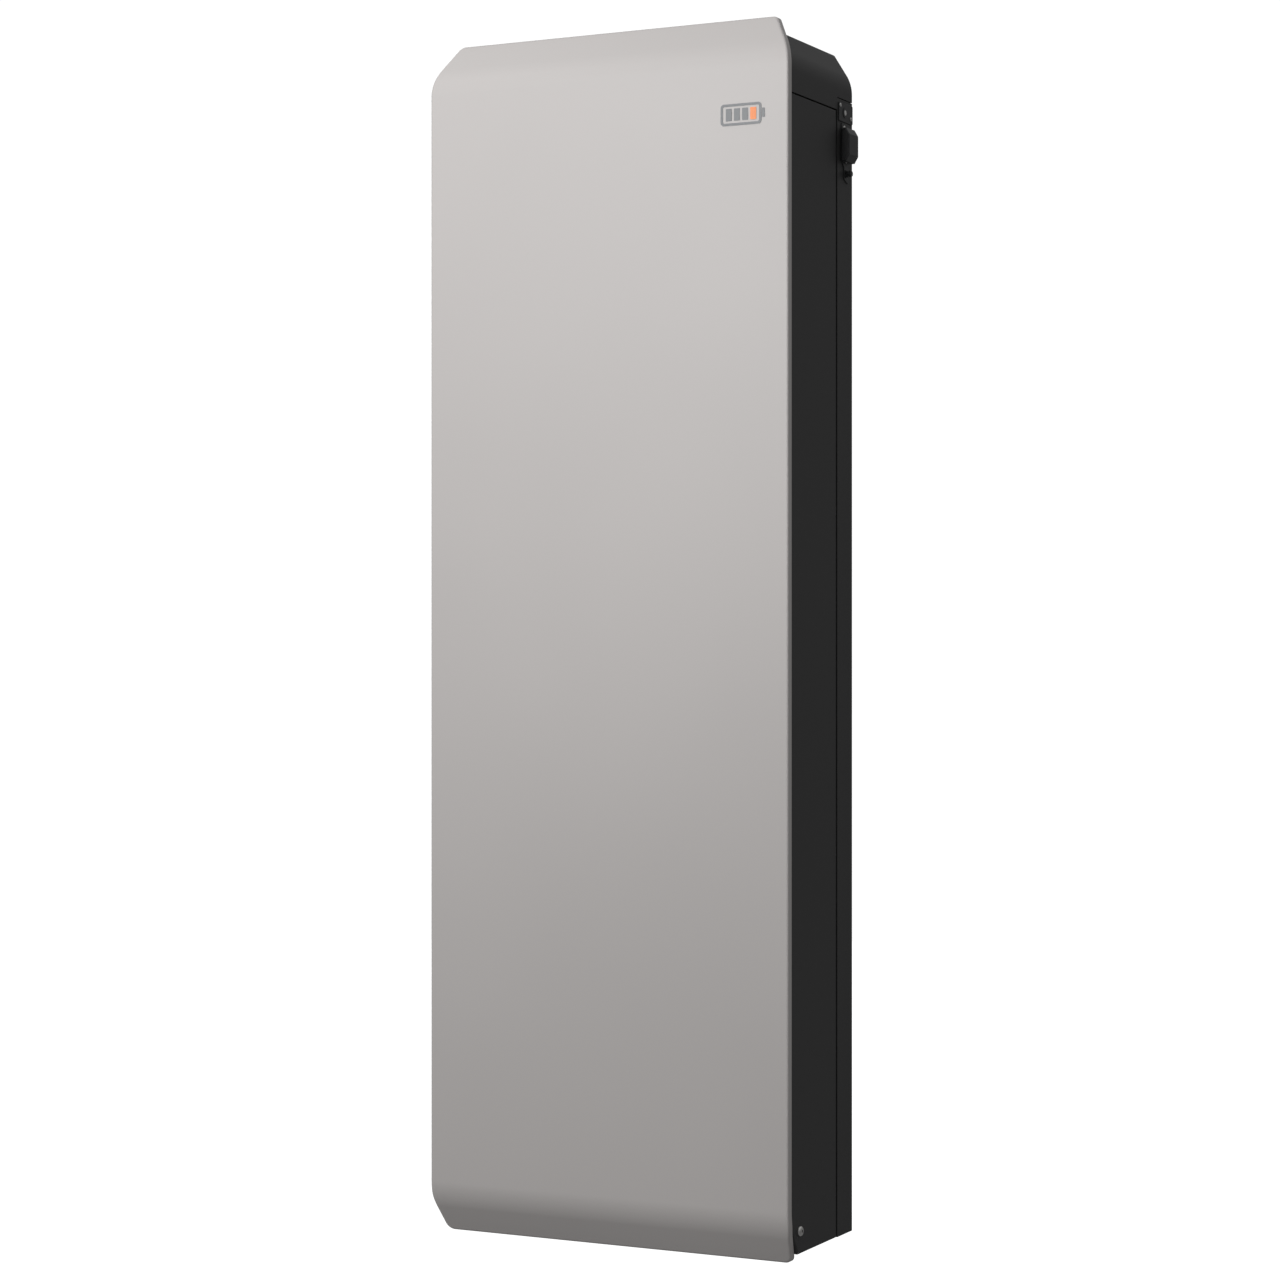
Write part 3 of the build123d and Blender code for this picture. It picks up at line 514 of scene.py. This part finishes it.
def body_front_at(z):
    """The plane that the cabinet's front edges lie in, behind the cover's rear edge and its seal gap."""
    return front_y + RETURN + SEAL_GAP + lean_at(z)


def top_cap():
    """One folded cap: front and rear walls, chamfered sides, and a foot that steps up over the chassis."""
    shoulder = cap_high.z - CAP_CHAMFER[1]
    corners = [
        (body_half, cap_low.z, 0.0),
        (body_half, shoulder, CAP_ROUND),
        (body_half - CAP_CHAMFER[0], cap_high.z, CAP_TIP_ROUND),
        (0.0, cap_high.z, 0.0),
    ]
    right = split_at(rounded_chain(corners, 3.0)[:-1], lean_levels + [rear_seam], closed=False)
    chain = right + [Vector((-p.x, p.y)) for p in reversed(right)]
    count = len(chain)
    fold = fold_rings(BEND_EDGE, BODY_SHEET)
    skins = [[], []]
    for ring in fold:
        for skin, (inset, depth) in zip(skins, ring):
            skin += [(p.x, body_front_at(p.y) + depth, p.y) for p in offset_chain(chain, inset)]
    for skin, inset in zip(skins, (0.0, BODY_SHEET)):
        skin += [(p.x, seam_y, p.y) for p in offset_chain(chain, inset)]
    for ring in reversed(fold):
        for skin, (inset, depth) in zip(skins, ring):
            skin += [(p.x, rear_y - depth, p.y) for p in offset_chain(chain, inset)]

    def below_seam(i):
        return max(chain[i].y, chain[i + 1].y) < rear_seam + 1e-6

    rings = 2 * len(fold) + 1
    faces = ring_strips(rings, count, False, lambda ring, i: ring >= len(fold) and below_seam(i))
    faces += mirrored_rows(0, count)
    faces += mirrored_rows((rings - 1) * count, count, below_seam)
    folded_sheet("cap_shell", *skins, faces, "black_powder_coat", "cabinet", ["top_cap"])


def side_panel(side, name, node):
    """A side sheet with its four edges folded in, notched where the cover's tab goes through."""
    top, bottom = panel_high.z, panel_low.z
    rear = panel_high.y
    front_levels = [z for z in lean_levels if bottom < z < top] + [notch_low, notch_high]
    corners = [Vector((rear, bottom)), Vector((rear, top))]
    front_edge = [Vector((body_front_at(z), z)) for z in sorted(front_levels + [bottom, top], reverse=True)]
    outline = corners + front_edge
    count = len(outline)
    rings = fold_rings(BEND_EDGE, BODY_SHEET, (PANEL_FLANGE,))
    skins = [[], []]
    for ring in rings:
        for skin, (inset, depth) in zip(skins, ring):
            skin += [(side * (body_half - depth), p.x, p.y) for p in offset_inward(outline, inset)]

    def in_notch(ring, i):
        heights = (outline[i].y, outline[(i + 1) % count].y)
        inside = min(heights) > notch_low - 1e-6 and max(heights) < notch_high + 1e-6
        return 2 <= i < count - 1 and ring == len(rings) - 2 and inside

    faces = ring_strips(len(rings), count, True, in_notch) + [tuple(range(count))]
    folded_sheet(name, *skins, faces, "black_powder_coat", "cabinet", [node])


def rear_tray():
    """The tray at the back: walls folded forward, a top open between two ledges, strips behind two seams."""
    x, low, high = body_half, chassis_low.z, chassis_top
    ledge = x - BODY_SHEET - CHASSIS_LEDGE
    outline = [Vector(p) for p in (
        (-x, low), (x, low), (x, high), (ledge, high), (-ledge, high), (-x, high),
    )]
    count = len(outline)
    rings = fold_rings(BEND_EDGE, BODY_SHEET, (rear_y - seam_y,))
    skins = [[], []]
    for ring in rings:
        for skin, (inset, depth) in zip(skins, ring):
            skin += [(p.x, rear_y - depth, p.y) for p in offset_inward(outline, inset)]
    faces = ring_strips(len(rings), count, True, lambda ring, i: ring == len(rings) - 2 and i == 3)
    faces += [tuple(range(count))]
    start, tip, wall = len(skins[0]), chassis_high.z, body_half - BODY_SHEET
    upstand = [(-STRIP_HALF, STRIP_LOW), (STRIP_HALF, STRIP_LOW), (STRIP_HALF, tip), (-STRIP_HALF, tip)]
    near, far = seam_y - BACKING[0], seam_y + BACKING[1]
    backing = [(-wall, near), (wall, near), (wall, far), (-wall, far)]
    for k, skin in enumerate(skins):
        skin += [(x, rear_y - BODY_SHEET * (1 + k) - STRIP_GAP, z) for x, z in upstand]
        skin += [(x, y, low + BODY_SHEET * (1 + k)) for x, y in backing]
    faces += [tuple(range(start, start + 4)), tuple(range(start + 4, start + 8))]
    folded_sheet("rear_tray", *skins, faces, "black_powder_coat", "cabinet", ["rear_chassis"])


front_cover()
top_cap()
side_panel(1, "right_panel_shell", "right_side_panel")
side_panel(-1, "left_panel_shell", "left_side_panel")
rear_tray()


# Floor, light and camera -------------------------------------------------------------------------

def studio_floor():
    """A wide pale floor below the unit."""
    height = cad_box[0][2] - FLOOR_DROP
    turns = [math.tau * k / FLOOR_SIDES for k in range(FLOOR_SIDES)]
    rim = [(FLOOR_RADIUS * math.cos(turn), FLOOR_RADIUS * math.sin(turn), height) for turn in turns]
    mesh = bpy.data.meshes.new("studio_floor")
    mesh.from_pydata(rim, [], [tuple(range(FLOOR_SIDES))])
    floor = bpy.data.objects.new("studio_floor", mesh)
    bpy.context.scene.collection.objects.link(floor)
    m = Nodes("studio_floor")
    cloud = m.noise(0.6, 2.0, 0.5)
    m.feed(m.shader.inputs["Base Color"], m.blend(cloud, (0.86, 0.86, 0.86), (0.88, 0.88, 0.88)))
    m.shader.inputs["Roughness"].default_value = 0.95
    m.shader.inputs["Emission Color"].default_value = WHITE
    m.shader.inputs["Emission Strength"].default_value = FLOOR_GLOW
    mesh.materials.append(m.material)
    floor.visible_diffuse = False
    floor.visible_glossy = False


def studio_world():
    """White to the camera; a soft dome, brighter overhead, for everything it lights."""
    world = bpy.data.worlds.new("studio")
    bpy.context.scene.world = world
    world.use_nodes = True
    tree = world.node_tree
    tree.nodes.clear()
    place = tree.nodes.new("ShaderNodeTexCoord")
    split = tree.nodes.new("ShaderNodeSeparateXYZ")
    rise = tree.nodes.new("ShaderNodeMapRange")
    rise.inputs["To Min"].default_value = DOME_LOW
    rise.inputs["To Max"].default_value = DOME_HIGH
    side = tree.nodes.new("ShaderNodeMapRange")
    side.inputs["To Min"].default_value = 1.0
    side.inputs["To Max"].default_value = DOME_RIGHT
    shade = tree.nodes.new("ShaderNodeMath")
    shade.operation = "MULTIPLY"
    dome = tree.nodes.new("ShaderNodeBackground")
    dome.inputs["Color"].default_value = WHITE
    white = tree.nodes.new("ShaderNodeBackground")
    white.inputs["Color"].default_value = WHITE
    white.inputs["Strength"].default_value = BACKGROUND
    path = tree.nodes.new("ShaderNodeLightPath")
    mix = tree.nodes.new("ShaderNodeMixShader")
    out = tree.nodes.new("ShaderNodeOutputWorld")
    for source, target in (
        (place.outputs["Generated"], split.inputs["Vector"]),
        (split.outputs["Z"], rise.inputs["Value"]),
        (split.outputs["X"], side.inputs["Value"]),
        (rise.outputs["Result"], shade.inputs[0]),
        (side.outputs["Result"], shade.inputs[1]),
        (shade.outputs["Value"], dome.inputs["Strength"]),
        (path.outputs["Is Camera Ray"], mix.inputs["Fac"]),
        (dome.outputs["Background"], mix.inputs[1]),
        (white.outputs["Background"], mix.inputs[2]),
        (mix.outputs["Shader"], out.inputs["Surface"]),
    ):
        tree.links.new(source, target)


def softbox(name, place, aim, size, power):
    """A rectangular area light that the camera doesn't see."""
    light = bpy.data.lights.new(name, "AREA")
    light.shape = "RECTANGLE"
    light.size, light.size_y = size
    light.energy = power
    lamp = bpy.data.objects.new(name, light)
    lamp.location = place
    lamp.rotation_euler = (Vector(aim) - Vector(place)).to_track_quat("-Z", "Y").to_euler()
    lamp.visible_camera = False
    bpy.context.scene.collection.objects.link(lamp)


def camera():
    """The level camera of the main view."""
    view = bpy.data.cameras.new("camera")
    view.lens = LENS
    view.sensor_width = SENSOR
    view.shift_y = SHIFT
    view.clip_end = FAR_CLIP
    eye = bpy.data.objects.new("camera", view)
    eye.location = EYE
    eye.rotation_euler = (math.pi / 2, 0.0, math.radians(AZIMUTH))
    bpy.context.scene.collection.objects.link(eye)
    bpy.context.scene.camera = eye


studio_floor()
studio_world()
for name, place, aim, size, power in SOFTBOXES:
    softbox(name, place, aim, size, power)
camera()
bpy.context.scene.view_settings.view_transform = "Standard"
